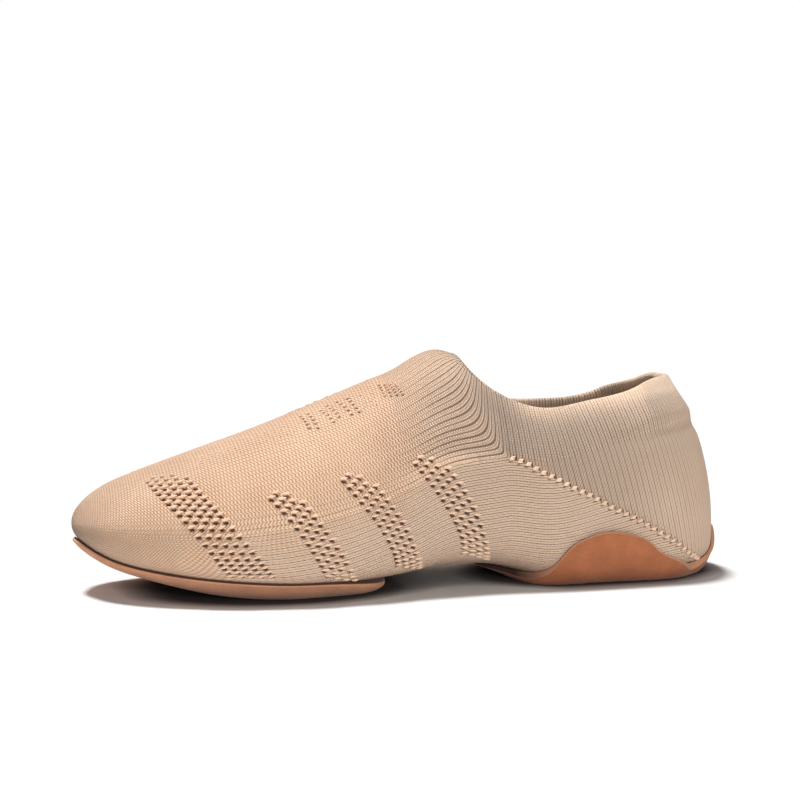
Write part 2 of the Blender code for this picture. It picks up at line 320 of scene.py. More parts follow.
# The collar's edge is turned over and rolled. It lies on the line where the sections meet the opening,
# and the knit stands out beside it, less so over the instep.
ROLL = 0.0014
BULGE_WIDTH = 0.0030
BULGE_REACH = 0.009
INSTEP_FROM, INSTEP_FULL = -0.060, -0.068
open_sections = np.sort(np.concatenate([[throat - 1e-4], sections[sections < throat]]))
rims = {}
for side in (-1, 1):
    rim_share = share_at(open_sections, rim_angle(open_sections, side))
    point, out = place(open_sections, side, rim_share)
    rim_way = np.gradient(point, axis=0)
    rim_way /= np.linalg.norm(rim_way, axis=-1, keepdims=True)
    inward = np.cross(out, rim_way) * side
    rims[side] = point, out, inward
rim_points = np.concatenate([rims[-1][0], rims[1][0]])


def collar_bulge(points):
    """How far the knit stands out beside the collar's roll."""
    stands = np.zeros(len(points))
    for centre in rim_points:
        away = points - centre
        gap = np.einsum("ij,ij->i", away, away)
        near = gap < BULGE_REACH ** 2
        stands[near] = np.maximum(stands[near], np.exp(-gap[near] / BULGE_WIDTH ** 2))
    ahead = np.clip((INSTEP_FROM - points[:, 0]) / (INSTEP_FROM - INSTEP_FULL), 0, 1)
    return stands * (ROLL - KNIT / 2) * (1 - 0.8 * ahead)


# The crease round the heel, as stations and shares of the girth, its depth and the swelling above it.
CREASE_PATH = np.array([(0.0, 0.681), (0.9, 0.679), (1.63, 0.671), (2.31, 0.655), (3.0, 0.640)])
CREASE_DEPTH = 0.0008
SWELLING = 0.0006
SEAM_RIDGE = 0.0004

# The swell and the dip over the instep's crest: height, station and half width in stations.
CREST_FOLDS = [(0.0011, 5.78, 0.27), (-0.0009, 6.60, 0.36)]


def soft_forms(station, share):
    """The listed creases and the seam's ridge, outwards from the form."""
    around = np.interp(station, girth_stations, girth)
    gap = (share - np.interp(station, *CREASE_PATH.T)) * around
    here = np.clip((3.1 - station) / 1.2, 0, 1)
    swelling = SWELLING * np.exp(-((gap - 0.0055) / 0.0042) ** 2)
    stands = here * (swelling - CREASE_DEPTH * np.exp(-(gap / 0.0030) ** 2))
    seam_gap = (share - np.interp(station, *SEAM_PATH.T)) * around
    here = np.clip((station - 0.85) / 0.2, 0, 1) * np.clip((4.9 - station) / 0.4, 0, 1)
    stands = stands + here * SEAM_RIDGE * np.exp(-(seam_gap / 0.0018) ** 2)
    crest = sum(height * np.exp(-((station - at) / half) ** 2) for height, at, half in CREST_FOLDS)
    return stands + crest * np.clip((share - 0.80) / 0.12, 0, 1)


# How far beside the seam the mesh is finer, as a share of the girth, and between which stations.
FINE_BESIDE_SEAM = 0.0030 / 0.115
FINE_SEAM_ENDS = 0.9, 5.1


def half_knit(side):
    """One half of the knit's outer face, finer where the openwork and the seam lie."""
    top = share_at(sections, rim_angle(sections, side))
    share = np.linspace(0, 1, OUTER_LEVELS + 1)[None, :] * top[:, None]
    station = np.broadcast_to(sections[:, None], share.shape)
    points, _ = place(station, side, share)
    bm = bmesh.new()
    station_layer = bm.verts.layers.float.new("station")
    share_layer = bm.verts.layers.float.new("share")
    rows = []
    for r in range(share.shape[0]):
        row = []
        for c in range(share.shape[1]):
            vert = bm.verts.new(points[r, c])
            vert[station_layer] = station[r, c]
            vert[share_layer] = share[r, c]
            row.append(vert)
        rows.append(row)
    for row, after in zip(rows, rows[1:]):
        for c in range(OUTER_LEVELS):
            quad = [row[c], row[c + 1], after[c + 1], after[c]]
            bm.faces.new(quad if side < 0 else quad[::-1])
    centres = np.array([face.calc_center_median() for face in bm.faces])
    corners = [[(vert[station_layer], vert[share_layer]) for vert in face.verts] for face in bm.faces]
    middle_at, middle_up = np.array([np.mean(corner, axis=0) for corner in corners]).T
    by_seam = np.abs(middle_up - np.interp(middle_at, *SEAM_PATH.T)) < FINE_BESIDE_SEAM
    by_seam &= (middle_at > FINE_SEAM_ENDS[0]) & (middle_at < FINE_SEAM_ENDS[1])
    fine = near_openwork(centres, side) | by_seam
    edges = {edge for face, chosen in zip(bm.faces, fine) if chosen for edge in face.edges}
    bmesh.ops.subdivide_edges(bm, edges=list(edges), cuts=3, use_grid_fill=True)
    station = np.array([vert[station_layer] for vert in bm.verts])
    share = np.array([vert[share_layer] for vert in bm.verts])
    points, out = place(station, side, share)
    depth = openwork_depth(points, side)
    stands = soft_forms(station, share) + collar_bulge(points) - HOLE_DEPTH * depth
    points = points + out * stands[:, None]
    index = {vert: number for number, vert in enumerate(bm.verts)}
    faces = [[index[vert] for vert in face.verts] for face in bm.faces]
    bm.free()
    return points, faces, np.stack([station, share, depth], -1)


def grid_faces(rows, columns, flip):
    """The faces of a grid of points, numbered row by row."""
    faces = []
    for r in range(rows - 1):
        for c in range(columns - 1):
            quad = [r * columns + c, r * columns + c + 1, (r + 1) * columns + c + 1, (r + 1) * columns + c]
            faces.append(quad[::-1] if flip else quad)
    return faces


def half_roll(side):
    """One half of the collar's roll, from the outer face over to the inner face."""
    point, out, inward = rims[side]
    swing = np.radians(np.linspace(0, 180, ROLL_POINTS))[None, :, None]
    centre = (point - out * KNIT / 2)[:, None, :]
    points = centre + ROLL * (np.cos(swing) * out[:, None, :] + np.sin(swing) * inward[:, None, :])
    share = share_at(open_sections, rim_angle(open_sections, side))
    count = len(open_sections)
    extra = np.stack([open_sections, share, np.zeros(count)], -1).repeat(ROLL_POINTS, axis=0)
    return points.reshape(-1, 3), grid_faces(count, ROLL_POINTS, side > 0), extra


def half_lining(side):
    """One half of the knit's inner face."""
    top = share_at(sections, rim_angle(sections, side))
    share = np.linspace(0, 1, INNER_LEVELS + 1)[None, :] ** 0.9 * top[:, None]
    station = np.broadcast_to(sections[:, None], share.shape)
    points, out = place(station, side, share)
    stands = collar_bulge(points.reshape(-1, 3)).reshape(share.shape)
    points = points - out * (KNIT + stands)[..., None]
    extra = np.stack([station.ravel(), share.ravel(), np.zeros(share.size)], -1)
    return points.reshape(-1, 3), grid_faces(len(sections), INNER_LEVELS + 1, side < 0), extra


points, faces, extras = [], [], []
for side in (-1, 1):
    for half in (half_knit, half_roll, half_lining):
        sheet_points, sheet_faces, extra = half(side)
        start = sum(len(block) for block in points)
        points.append(sheet_points)
        extras.append(extra)
        faces += [[start + corner for corner in face] for face in sheet_faces]
mesh = bpy.data.meshes.new("knit_upper")
mesh.from_pydata(np.concatenate(points), [], faces)
# The third value is how deep each point sinks into a hole or a seam's slit; the knit's colour darkens with it
# as painted shade.
for name, values in zip(("station", "share", "hole_shade_depth"), np.concatenate(extras).T):
    mesh.attributes.new(name, "FLOAT", "POINT").data.foreach_set("value", values.astype(np.float32))
bm = bmesh.new()
bm.from_mesh(mesh)
bmesh.ops.remove_doubles(bm, verts=bm.verts, dist=2e-5)
bm.to_mesh(mesh)
bm.free()


# Wales and courses of the knit, in loops. Behind the seam the wales stand upright, below it they run
# along the foot. In between they come down from the throat's edge and bend forwards in a fan.
HALF_GIRTH = 0.112
WALE = 0.00115
LOW_WALE = 0.0009
COURSE = 0.00125
FAN_WALES = 29
FAN_SPREAD = 0.034
FAN_POWER = 2.3
FAN_DROP = 0.085
FAN_EASE = 0.03
HEEL_LEAN = 0.24
pivot_at, pivot_up = SEAM_PATH[-1]
line = form(girth_stations[:-1], -1, 10.0)
walk = np.concatenate([[0], np.cumsum(np.linalg.norm(np.diff(line, axis=0), axis=-1))])
walk -= np.interp(pivot_at, girth_stations[:-1], walk)


def knit_lines(station, share, above_seam):
    """Counts of wales and of courses at a place on the knit."""
    along = np.interp(station, girth_stations[:-1], walk)
    rise = np.where(along < 0, 0.15 * along, 0.0045 * (1 - np.exp(-along / FAN_EASE)))
    up = ((share - pivot_up) * HALF_GIRTH + rise) * 1.35
    foot = pivot_up - FAN_DROP * (1 - np.exp(-np.maximum(along, 0) / FAN_EASE))
    climb = np.clip((share - foot) / (1 - foot), 1e-4, 0.9999)
    reach = np.maximum(along, 1e-6) / FAN_SPREAD / np.sqrt(1 - climb)
    fan = FAN_WALES * (1 - (climb ** -FAN_POWER + reach ** -FAN_POWER) ** (-1 / FAN_POWER))
    below = FAN_WALES + (foot - share) * HALF_GIRTH / LOW_WALE - rise / LOW_WALE * (along < 0)
    lean = HEEL_LEAN * np.clip(-along / 0.03, 0, 1) * (share - pivot_up) * HALF_GIRTH
    upright = FAN_WALES - (along - lean) / WALE
    wale = np.where(share > foot, fan, below)
    wale = np.where(along < 0, np.where(above_seam, upright, below), wale)
    high = np.interp(along, [0.0, 0.04, 0.16], [1.0, 0.45, 0.40])
    arcs = np.clip((along - 0.075) / 0.05, 0, 1)
    low = 0.3 * np.minimum(up, 0) - 0.011 * (1 - np.exp(np.minimum(up, 0) / 0.012))
    low = arcs * low - (1 - arcs) * 0.3 * np.minimum(up, 0) * np.clip(along / 0.04, 0, 1)
    ahead = np.where(above_seam, np.maximum(along, 0), along)
    course = ahead - high * np.maximum(up, 0) + low
    return wale, course / COURSE


vertex_count = len(mesh.vertices)
station = np.empty(vertex_count, np.float32)
share = np.empty(vertex_count, np.float32)
mesh.attributes["station"].data.foreach_get("value", station)
mesh.attributes["share"].data.foreach_get("value", share)
corner_vertex = np.empty(len(mesh.loops), np.int32)
mesh.loops.foreach_get("vertex_index", corner_vertex)
loop_total = np.empty(len(mesh.polygons), np.int32)
mesh.polygons.foreach_get("loop_total", loop_total)
face_of = np.repeat(np.arange(len(loop_total)), loop_total)
face_station = np.bincount(face_of, station[corner_vertex]) / loop_total
face_share = np.bincount(face_of, share[corner_vertex]) / loop_total
above = face_share > np.interp(face_station, *SEAM_PATH.T)
counts = knit_lines(station[corner_vertex], share[corner_vertex], above[face_of])
knit_map = mesh.uv_layers.new(name="knit")
knit_map.data.foreach_set("uv", np.stack(counts, -1).astype(np.float32).ravel())
low_side = np.clip((0.60 - share) / 0.18, 0, 1) * np.clip((10.4 - station) / 0.8, 0, 1)
coursed = np.interp(station, [5.6, 7.2], [0, 1]) * (1 - 0.8 * low_side)
mesh.attributes.new("coursed", "FLOAT", "POINT").data.foreach_set("value", coursed.astype(np.float32))

# The wales are drawn deepest where they fan out from the seam's front end. They fade out along the
# collar's edge and round the back of the heel. Where they are drawn deep, the gaps between the loops
# are also painted darker, as painted shade in the grooves.
along = np.interp(station, girth_stations[:-1], walk)
up = (share - pivot_up) * HALF_GIRTH
drawn = np.exp(-((along - 0.006) / np.where(along < 0.006, 0.012, 0.026)) ** 2)
drawn *= np.clip((up + 0.002) / 0.004, 0, 1) * np.exp(-(np.maximum(up - 0.016, 0) / 0.014) ** 2)
behind = (share > np.interp(station, *SEAM_PATH.T)) & (station < pivot_at)
drawn += 0.8 * behind * np.exp(-((along + 0.026) / 0.034) ** 2)
rim_share = share_at(open_sections, rim_angle(open_sections, -1))
edge_gap = (np.interp(station, open_sections, rim_share, right=1.2) - share) * HALF_GIRTH
drawn -= 1.1 * np.exp(-(edge_gap / 0.0055) ** 2) * np.clip((5.2 - station) / 0.8, 0, 1)
drawn = np.maximum(drawn, -0.5)
mesh.attributes.new("drawn", "FLOAT", "POINT").data.foreach_set("value", drawn.astype(np.float32))
mesh.shade_smooth()
for name in ("station", "share"):
    mesh.attributes.remove(mesh.attributes[name])
knit_upper = bpy.data.objects.new("knit_upper", mesh)
bpy.context.scene.collection.objects.link(knit_upper)


class Tree:
    """A short way to add nodes to a tree and join them."""

    def __init__(self, nodes):
        self.nodes, self.links = nodes.nodes, nodes.links

    def add(self, kind, values=(), **settings):
        node = self.nodes.new(kind)
        for name, value in settings.items():
            setattr(node, name, value)
        for socket, value in dict(values).items():
            if isinstance(value, bpy.types.NodeSocket):
                self.links.new(value, node.inputs[socket])
            else:
                node.inputs[socket].default_value = value
        return node

    def sum(self, operation, *values):
        return self.add("ShaderNodeMath", dict(enumerate(values)), operation=operation).outputs[0]

    def ramp(self, value, stops):
        node = self.add("ShaderNodeValToRGB", {0: value})
        band = node.color_ramp
        for number, (at, colour) in enumerate(stops):
            point = band.elements[number] if number < 2 else band.elements.new(at)
            point.position, point.color = at, (*colour, 1)
        return node.outputs[0]

    def noise(self, scale, detail):
        spot = self.add("ShaderNodeTexCoord").outputs["Object"]
        return self.add("ShaderNodeTexNoise", {"Vector": spot, "Scale": scale, "Detail": detail}).outputs[0]

    def bump(self, shader, strength, distance, height):
        node = self.add("ShaderNodeBump", {"Strength": strength, "Distance": distance, "Height": height})
        self.links.new(node.outputs[0], shader.inputs["Normal"])


def finish(name, roughness, sheen):
    """A new material, its tree and its Principled shader."""
    made = bpy.data.materials.new(name)
    made.use_nodes = True
    shader = made.node_tree.nodes["Principled BSDF"]
    shader.inputs["Roughness"].default_value = roughness
    shader.inputs["Sheen Weight"].default_value = sheen
    shader.inputs["Sheen Roughness"].default_value = 0.5
    return made, Tree(made.node_tree), shader


# One stitch of plain knit: two slanting legs to a wale, with a deep line between wales.
stitch = bpy.data.node_groups.new("knit stitch", "ShaderNodeTree")
stitch.interface.new_socket("Lines", in_out="INPUT", socket_type="NodeSocketVector")
stitch.interface.new_socket("Coursed", in_out="INPUT", socket_type="NodeSocketFloat")
stitch.interface.new_socket("Height", in_out="OUTPUT", socket_type="NodeSocketFloat")
tree = Tree(stitch)
given = tree.add("NodeGroupInput")
split = tree.add("ShaderNodeSeparateXYZ", {0: given.outputs["Lines"]})
across_wale = tree.sum("ABSOLUTE", tree.sum("SUBTRACT", tree.sum("FRACT", split.outputs[0]), 0.5))
leg = tree.sum("ABSOLUTE", tree.sum("MULTIPLY", tree.sum("SUBTRACT", across_wale, 0.20), 3.3))
leg = tree.sum("MAXIMUM", tree.sum("SUBTRACT", 1.0, tree.sum("POWER", leg, 2.0)), 0.0)
slant = tree.sum("ADD", split.outputs[1], tree.sum("MULTIPLY", across_wale, 0.9))
loop = tree.sum("ABSOLUTE", tree.sum("SINE", tree.sum("MULTIPLY", slant, math.pi)))
wale_height = tree.sum("MULTIPLY", leg, tree.sum("ADD", 0.62, tree.sum("MULTIPLY", loop, 0.38)))
course_height = tree.sum("MULTIPLY", loop, tree.sum("ADD", 0.72, tree.sum("MULTIPLY", leg, 0.28)))
mixed = tree.add("ShaderNodeMix", {0: given.outputs["Coursed"], 2: wale_height, 3: course_height})
result = tree.add("NodeGroupOutput")
tree.links.new(mixed.outputs[0], result.inputs["Height"])

# The yarn's tones. The dark and light ends also stand for painted shade between the loops and painted light
# on their tops.
YARN_DARK = (0.36, 0.186, 0.105)
YARN = (0.77, 0.485, 0.31)
YARN_LIGHT = (0.89, 0.655, 0.475)
# Near black brown painted into the openwork's holes and the seam's slits and dashes: painted shade.
HOLE_SHADE = (0.13, 0.050, 0.024)
knit, tree, shader = finish("knit", 0.92, 0.2)
lines = tree.add("ShaderNodeUVMap", uv_map="knit")
coursed = tree.add("ShaderNodeAttribute", attribute_name="coursed")
hole_shade_depth = tree.add("ShaderNodeAttribute", attribute_name="hole_shade_depth")
drawn = tree.add("ShaderNodeAttribute", attribute_name="drawn")
loops = tree.add("ShaderNodeGroup", {0: lines.outputs[0], 1: coursed.outputs["Fac"]}, node_tree=stitch)
mottle = tree.noise(55.0, 3.0)
fuzz = tree.noise(1500.0, 2.0)
# The yarn's colour follows the stitch's height: lighter on the loops and darker between them, as painted
# shade. The mottle and the fuzz are the yarn's own uneven tone.
relief_shade = tree.sum("SUBTRACT", 1.15, tree.sum("MULTIPLY", coursed.outputs["Fac"], 0.70))
relief_shade = tree.sum("MULTIPLY", tree.sum("SUBTRACT", loops.outputs[0], 0.5), relief_shade)
relief_shade = tree.sum("SUBTRACT", relief_shade, tree.sum("MULTIPLY", coursed.outputs["Fac"], 0.19))

# Every second line between the wales is deeper, where the knit isn't coursed, and is painted darker as
# painted shade.
second = tree.sum("MULTIPLY", tree.add("ShaderNodeSeparateXYZ", {0: lines.outputs[0]}).outputs[0], 0.5)
second = tree.sum("ABSOLUTE", tree.sum("SUBTRACT", tree.sum("FRACT", second), 0.5))
second = tree.sum("POWER", tree.sum("MULTIPLY", second, 2.0), 4.0)
plain = tree.sum("SUBTRACT", 1.0, coursed.outputs["Fac"])
plain = tree.sum("MULTIPLY", plain, tree.sum("ADD", tree.sum("MULTIPLY", drawn.outputs["Fac"], 0.9), 0.6))
second = tree.sum("MULTIPLY", second, plain)
relief_shade = tree.sum("SUBTRACT", relief_shade, tree.sum("MULTIPLY", second, 0.50))
tone = tree.sum("ADD", tree.sum("ADD", relief_shade, 0.34), tree.sum("MULTIPLY", mottle, 0.30))
tone = tree.sum("ADD", tone, tree.sum("MULTIPLY", fuzz, 0.14))
# Painted shade: where the wales are drawn deep, the gaps between the loops are painted darker.
gap = tree.sum("SUBTRACT", 1.0, loops.outputs[0])
gap = tree.sum("MULTIPLY", gap, drawn.outputs["Fac"])
tone = tree.sum("SUBTRACT", tone, tree.sum("MULTIPLY", gap, 0.55))
yarn = tree.ramp(tone, [(0.05, YARN_DARK), (0.80, YARN_LIGHT), (0.45, YARN)])
# Painted shade: the deeper a place sinks into a hole or a slit, the more it takes the dark brown.
pit = tree.ramp(hole_shade_depth.outputs["Fac"], [(0.10, (0, 0, 0)), (0.62, (1, 1, 1))])
colour = tree.add("ShaderNodeMix", {0: pit, 6: yarn, 7: (*HOLE_SHADE, 1)}, data_type="RGBA")
tree.links.new(colour.outputs[2], shader.inputs["Base Color"])
deep = tree.sum("SUBTRACT", 1.0, tree.sum("MULTIPLY", coursed.outputs["Fac"], 0.4))
deep = tree.sum("ADD", deep, tree.sum("MULTIPLY", drawn.outputs["Fac"], 1.3))
height = tree.sum("MULTIPLY", loops.outputs[0], deep)
height = tree.sum("ADD", height, tree.sum("MULTIPLY", fuzz, 0.25))
height = tree.sum("SUBTRACT", height, tree.sum("MULTIPLY", second, 0.7))
tree.bump(shader, 1.0, 0.00062, height)
mesh.materials.append(knit)
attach(knit_upper, "root")
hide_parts("upper")

# The knots
# Between the holes of the openwork, and all along the seam of the heel turn, loops of yarn are drawn
# together into small raised knots. They are the knit's own yarn.
OPENWORK_KNOT = {"Length": 0.0036, "Width": 0.00115, "Height": 0.0009}
SEAM_KNOT = {"Length": 0.0030, "Width": 0.0015, "Height": 0.0014}
KNOT_TILT = 20
KNOT_DARK = (0.66, 0.42, 0.275)
KNOT_LIGHT = (0.94, 0.67, 0.48)

knots = bpy.data.node_groups.new("knots on points", "GeometryNodeTree")
for name, kind in (("Points", "Geometry"), ("Length", "Float"), ("Width", "Float"), ("Height", "Float"),
                   ("Material", "Material")):
    knots.interface.new_socket(name, in_out="INPUT", socket_type="NodeSocket" + kind)
knots.interface.new_socket("Knots", in_out="OUTPUT", socket_type="NodeSocketGeometry")
tree = Tree(knots)
given = tree.add("NodeGroupInput")
ball = tree.add("GeometryNodeMeshUVSphere", {"Segments": 8, "Rings": 6, "Radius": 0.5})
spot = tree.add("GeometryNodeInputPosition")
spot_parts = tree.add("ShaderNodeSeparateXYZ", {0: spot.outputs[0]})
taper = tree.sum("SUBTRACT", 1.0, tree.sum("MULTIPLY", tree.sum("ABSOLUTE", spot_parts.outputs[0]), 1.1))
leaf = tree.add("ShaderNodeCombineXYZ", {
    0: tree.sum("MULTIPLY", spot_parts.outputs[0], given.outputs["Length"]),
    1: tree.sum("MULTIPLY", tree.sum("MULTIPLY", spot_parts.outputs[1], taper), given.outputs["Width"]),
    2: tree.sum("MULTIPLY", tree.sum("MULTIPLY", spot_parts.outputs[2], taper), given.outputs["Height"]),
})
shaped = tree.add("GeometryNodeSetPosition", {0: ball.outputs["Mesh"], "Position": leaf.outputs[0]})
way = tree.add("GeometryNodeInputNamedAttribute", {0: "way"}, data_type="FLOAT_VECTOR")
out = tree.add("GeometryNodeInputNamedAttribute", {0: "out"}, data_type="FLOAT_VECTOR")
size = tree.add("GeometryNodeInputNamedAttribute", {0: "size"}, data_type="FLOAT")
turned = tree.add("FunctionNodeAxesToRotation", {0: way.outputs[0], 1: out.outputs[0]},
                  primary_axis="X", secondary_axis="Z")
placed = tree.add("GeometryNodeInstanceOnPoints", {
    "Points": given.outputs["Points"], "Instance": shaped.outputs[0],
    "Rotation": turned.outputs[0], "Scale": size.outputs[0],
})
solid = tree.add("GeometryNodeRealizeInstances", {0: placed.outputs[0]})
smooth = tree.add("GeometryNodeSetShadeSmooth", {0: solid.outputs[0]})
covered = tree.add("GeometryNodeSetMaterial", {0: smooth.outputs[0], "Material": given.outputs["Material"]})
result = tree.add("NodeGroupOutput")
tree.links.new(covered.outputs[0], result.inputs[0])

knot_yarn, tree, shader = finish("knot yarn", 0.9, 0.2)
strands = tree.noise(2200.0, 2.0)
yarn = tree.ramp(strands, [(0.25, KNOT_DARK), (0.7, KNOT_LIGHT)])
tree.links.new(yarn, shader.inputs["Base Color"])
tree.bump(shader, 0.6, 0.00015, strands)


def tie_knots(name, points, ways, outs, sizes, knot):
    """Sets a knot on every point and makes the whole a plain mesh."""
    host_mesh = bpy.data.meshes.new(name + "_points")
    host_mesh.from_pydata(points, [], [])
    for layer, values in (("way", ways), ("out", outs)):
        data = host_mesh.attributes.new(layer, "FLOAT_VECTOR", "POINT").data
        data.foreach_set("vector", values.astype(np.float32).ravel())
    host_mesh.attributes.new("size", "FLOAT", "POINT").data.foreach_set("value", sizes.astype(np.float32))
    host = bpy.data.objects.new(name + "_points", host_mesh)
    bpy.context.scene.collection.objects.link(host)
    tying = host.modifiers.new("Knots", "NODES")
    tying.node_group = knots
    sockets = {item.name: item.identifier for item in knots.interface.items_tree if item.in_out == "INPUT"}
    for label, value in (*knot.items(), ("Material", knot_yarn)):
        tying[sockets[label]] = value
    ready = host.evaluated_get(bpy.context.evaluated_depsgraph_get())
    made = bpy.data.objects.new(name, bpy.data.meshes.new_from_object(ready))
    bpy.context.scene.collection.objects.link(made)
    bpy.data.objects.remove(host, do_unlink=True)
    for layer in ("way", "out", "size"):
        if layer in made.data.attributes:
            made.data.attributes.remove(made.data.attributes[layer])
    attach(made, "root")
    return made


for side, label in ((-1, "outer"), (1, "inner")):
    point, row_way, out, size = holes[side]
    up_way = -side * np.cross(out, row_way)
    tilt = math.radians(KNOT_TILT)
    way = math.cos(tilt) * row_way + math.sin(tilt) * up_way
    reach = (0.5 + 0.5 * size)[:, None]
    lifted = point + reach * (0.00105 * up_way - 0.0002 * row_way) + out * (0.0002 - 0.0009 * (1 - reach))
    tie_knots("openwork_knots_" + label, lifted, way, out, reach[:, 0] ** 2.5, OPENWORK_KNOT)
    point, way, out = seam_units[side]
    tie_knots("seam_knots_" + label, point + out * 0.0003, way, out, np.ones(len(point)), SEAM_KNOT)


# The pads of the sole
# Two pads of thick suede are glued under the knit: a rounded one under the forefoot, and one under the
# heel that turns up the sides as thin wings. The forefoot pad's cut edge has a dark brown dye. The front
# of the heel pad's edge, under the arch, is painted the same near black brown as painted shade. The rest
# of the heel pad's cut edge is painted pale as a painted highlight.
SOLE = 0.0045
WING = 0.0013
PRESS = 0.0006
CLEARANCE = 0.0003
EDGE_ROUNDING = 14
RIM_WIDTH = 0.0006
DARK_FRONT_FADE = 0.008
HEEL_TURN_UP = -62
FOREFOOT_TURN_UP = -78
HEEL_LIGHT, HEEL_DARK = (0.50, 0.172, 0.070), (0.24, 0.073, 0.026)
FOREFOOT_LIGHT, FOREFOOT_DARK = (0.72, 0.34, 0.18), (0.42, 0.175, 0.085)
# The pale colour painted along the heel pad's edge: a painted highlight.
EDGE_HIGHLIGHT = (0.56, 0.27, 0.15)
DYED_AND_SHADED_EDGE = (0.045, 0.016, 0.008)
HEEL_EDGE = np.array([
    (-0.35, -3, -3, 1.0), (0.0, -1, -1, 1.0), (0.35, -3, -3, 1.0), (0.7, -28, -28, 1.0), (1.1, -46, -46, 1.0),
    (1.6, -22, -22, 1.0), (2.2, -5, -5, 1.0), (2.8, -1, -1, 1.0), (3.4, -4, -4, 1.0), (3.8, -15, -14, 1.0),
    (4.1, -46, -42, 0.9), (4.45, -74, -72, 0.6), (4.85, -83, -83, 0.4), (5.0, -90, -90, 0.35),
    (5.1, -90, -90, 0.35),
])
FOREFOOT_EDGE = np.array([
    (6.9, -90, -90, 0.5), (7.0, -90, -90, 0.6), (7.15, -74, -76, 0.8), (7.6, -56, -60, 1.0),
    (8.3, -42, -46, 1.0), (9.1, -38, -38, 1.0), (9.9, -38, -38, 0.9), (10.7, -42, -42, 0.65),
    (11.5, -48, -48, 0.45), (12.3, -54, -54, 0.32), (12.9, -60, -60, 0.26), (13.2, -68, -68, 0.22),
    (13.35, -90, -90, 0.2), (13.45, -90, -90, 0.2),
])


def across(edges, steps, count):
    """A grid inside an edge table: stations, sides, angles, how round it is at the edge and thickness."""
    place = np.linspace(0, len(edges) - 3, (len(edges) - 3) * steps + 1)
    station, outer, inner, thick = np.moveaxis(read(edges, place), -1, 0)
    share = np.linspace(-1, 1, 2 * count + 1)[None, :]
    share = np.sign(share) * np.abs(share) ** 0.6
    side = np.where(share < 0, -1, 1)
    edge = np.where(share < 0, outer[:, None], inner[:, None])
    angle = -90 + np.abs(share) * (np.maximum(edge, -90) + 90)
    inset = np.clip((np.maximum(edge, -90) - angle) / EDGE_ROUNDING, 0, 1)
    full = np.sqrt(1 - (1 - inset) ** 2)
    return np.broadcast_arrays(station[:, None], side, angle, full, thick[:, None])


def slab(name, near, far, node):
    """A closed slab between two grids, with a rounded wall round it. Its "rim" is 1 at the edge."""
    steps = np.linspace(0, 1, 6)[1:-1]
    left = [near[:, :1] + (far[:, :1] - near[:, :1]) * step for step in steps]
    right = [far[:, -1:] + (near[:, -1:] - far[:, -1:]) * step for step in steps]
    loop = np.concatenate([near[:, ::-1], *left, far, *right], axis=1)
    spread = np.linalg.norm(np.diff(far, axis=1), axis=-1)
    edge_gap = np.minimum(np.cumsum(np.pad(spread, ((0, 0), (1, 0))), axis=1),
                          np.cumsum(np.pad(spread, ((0, 0), (0, 1)))[:, ::-1], axis=1)[:, ::-1])
    rim = np.exp(-edge_gap / RIM_WIDTH)
    ones = np.ones((len(near), len(steps)))
    near_rim = np.tile(np.pad(np.zeros(near.shape[1] - 2), 1, constant_values=1), (len(near), 1))
    rims_all = np.concatenate([near_rim * 2, ones * (2 - steps), rim, ones * (1 + steps)], axis=1)
    rows, columns = loop.shape[:2]
    faces = []
    for start in range(0, (rows - 1) * columns, columns):
        for c in range(columns):
            pair = start + c, start + (c + 1) % columns
            faces.append([*pair, pair[1] + columns, pair[0] + columns])
    made_mesh = bpy.data.meshes.new(name)
    made_mesh.from_pydata(loop.reshape(-1, 3), [], faces)
    rim_layer = made_mesh.attributes.new("rim", "FLOAT", "POINT")
    rim_layer.data.foreach_set("value", rims_all.astype(np.float32).ravel())
    bm = bmesh.new()
    bm.from_mesh(made_mesh)
    bmesh.ops.remove_doubles(bm, verts=bm.verts, dist=1e-5)
    bmesh.ops.recalc_face_normals(bm, faces=bm.faces)
    bm.to_mesh(made_mesh)
    bm.free()
    made_mesh.shade_smooth()
    made = bpy.data.objects.new(name, made_mesh)
    bpy.context.scene.collection.objects.link(made)
    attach(made, "root")
    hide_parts(node)
    return made


def suede_pad(name, node, edges, turn_up):
    """A pad that is full below, thin where it turns up the side and pressed flat on the floor."""
    station, side, angle, full, thick = across(edges, 9, 26)
    turned = np.clip((angle - turn_up) / 40, 0, 1)
    turned = turned * turned * (3 - 2 * turned)
    body = SOLE * thick * (0.5 + 0.5 * full)
    depth = body + (np.minimum(WING, body) - body) * turned
    face, normal = form(station, side, angle), outward(station, side, angle)
    far = face + normal * (CLEARANCE + depth + PRESS * (1 - turned))[..., None]
    far[..., 2] = np.maximum(far[..., 2], 0)
    return slab(name, face + normal * CLEARANCE, far, node)


# The nap of suede: a short velvet in cloudy patches, brushed this way and that.
nap = bpy.data.node_groups.new("suede nap", "ShaderNodeTree")
nap.interface.new_socket("Light", in_out="INPUT", socket_type="NodeSocketColor")
nap.interface.new_socket("Dark", in_out="INPUT", socket_type="NodeSocketColor")
nap.interface.new_socket("Colour", in_out="OUTPUT", socket_type="NodeSocketColor")
nap.interface.new_socket("Height", in_out="OUTPUT", socket_type="NodeSocketFloat")
tree = Tree(nap)
given = tree.add("NodeGroupInput")
fibres = tree.noise(1400.0, 3.0)
shade = tree.sum("MULTIPLY", tree.noise(120.0, 4.0), 0.9)
shade = tree.sum("ADD", shade, tree.sum("MULTIPLY", fibres, 0.5))
shade = tree.sum("SUBTRACT", shade, 0.2)
both = {0: shade, 6: given.outputs["Dark"], 7: given.outputs["Light"]}
mixed = tree.add("ShaderNodeMix", both, data_type="RGBA")
result = tree.add("NodeGroupOutput")
tree.links.new(mixed.outputs[2], result.inputs["Colour"])
tree.links.new(fibres, result.inputs["Height"])


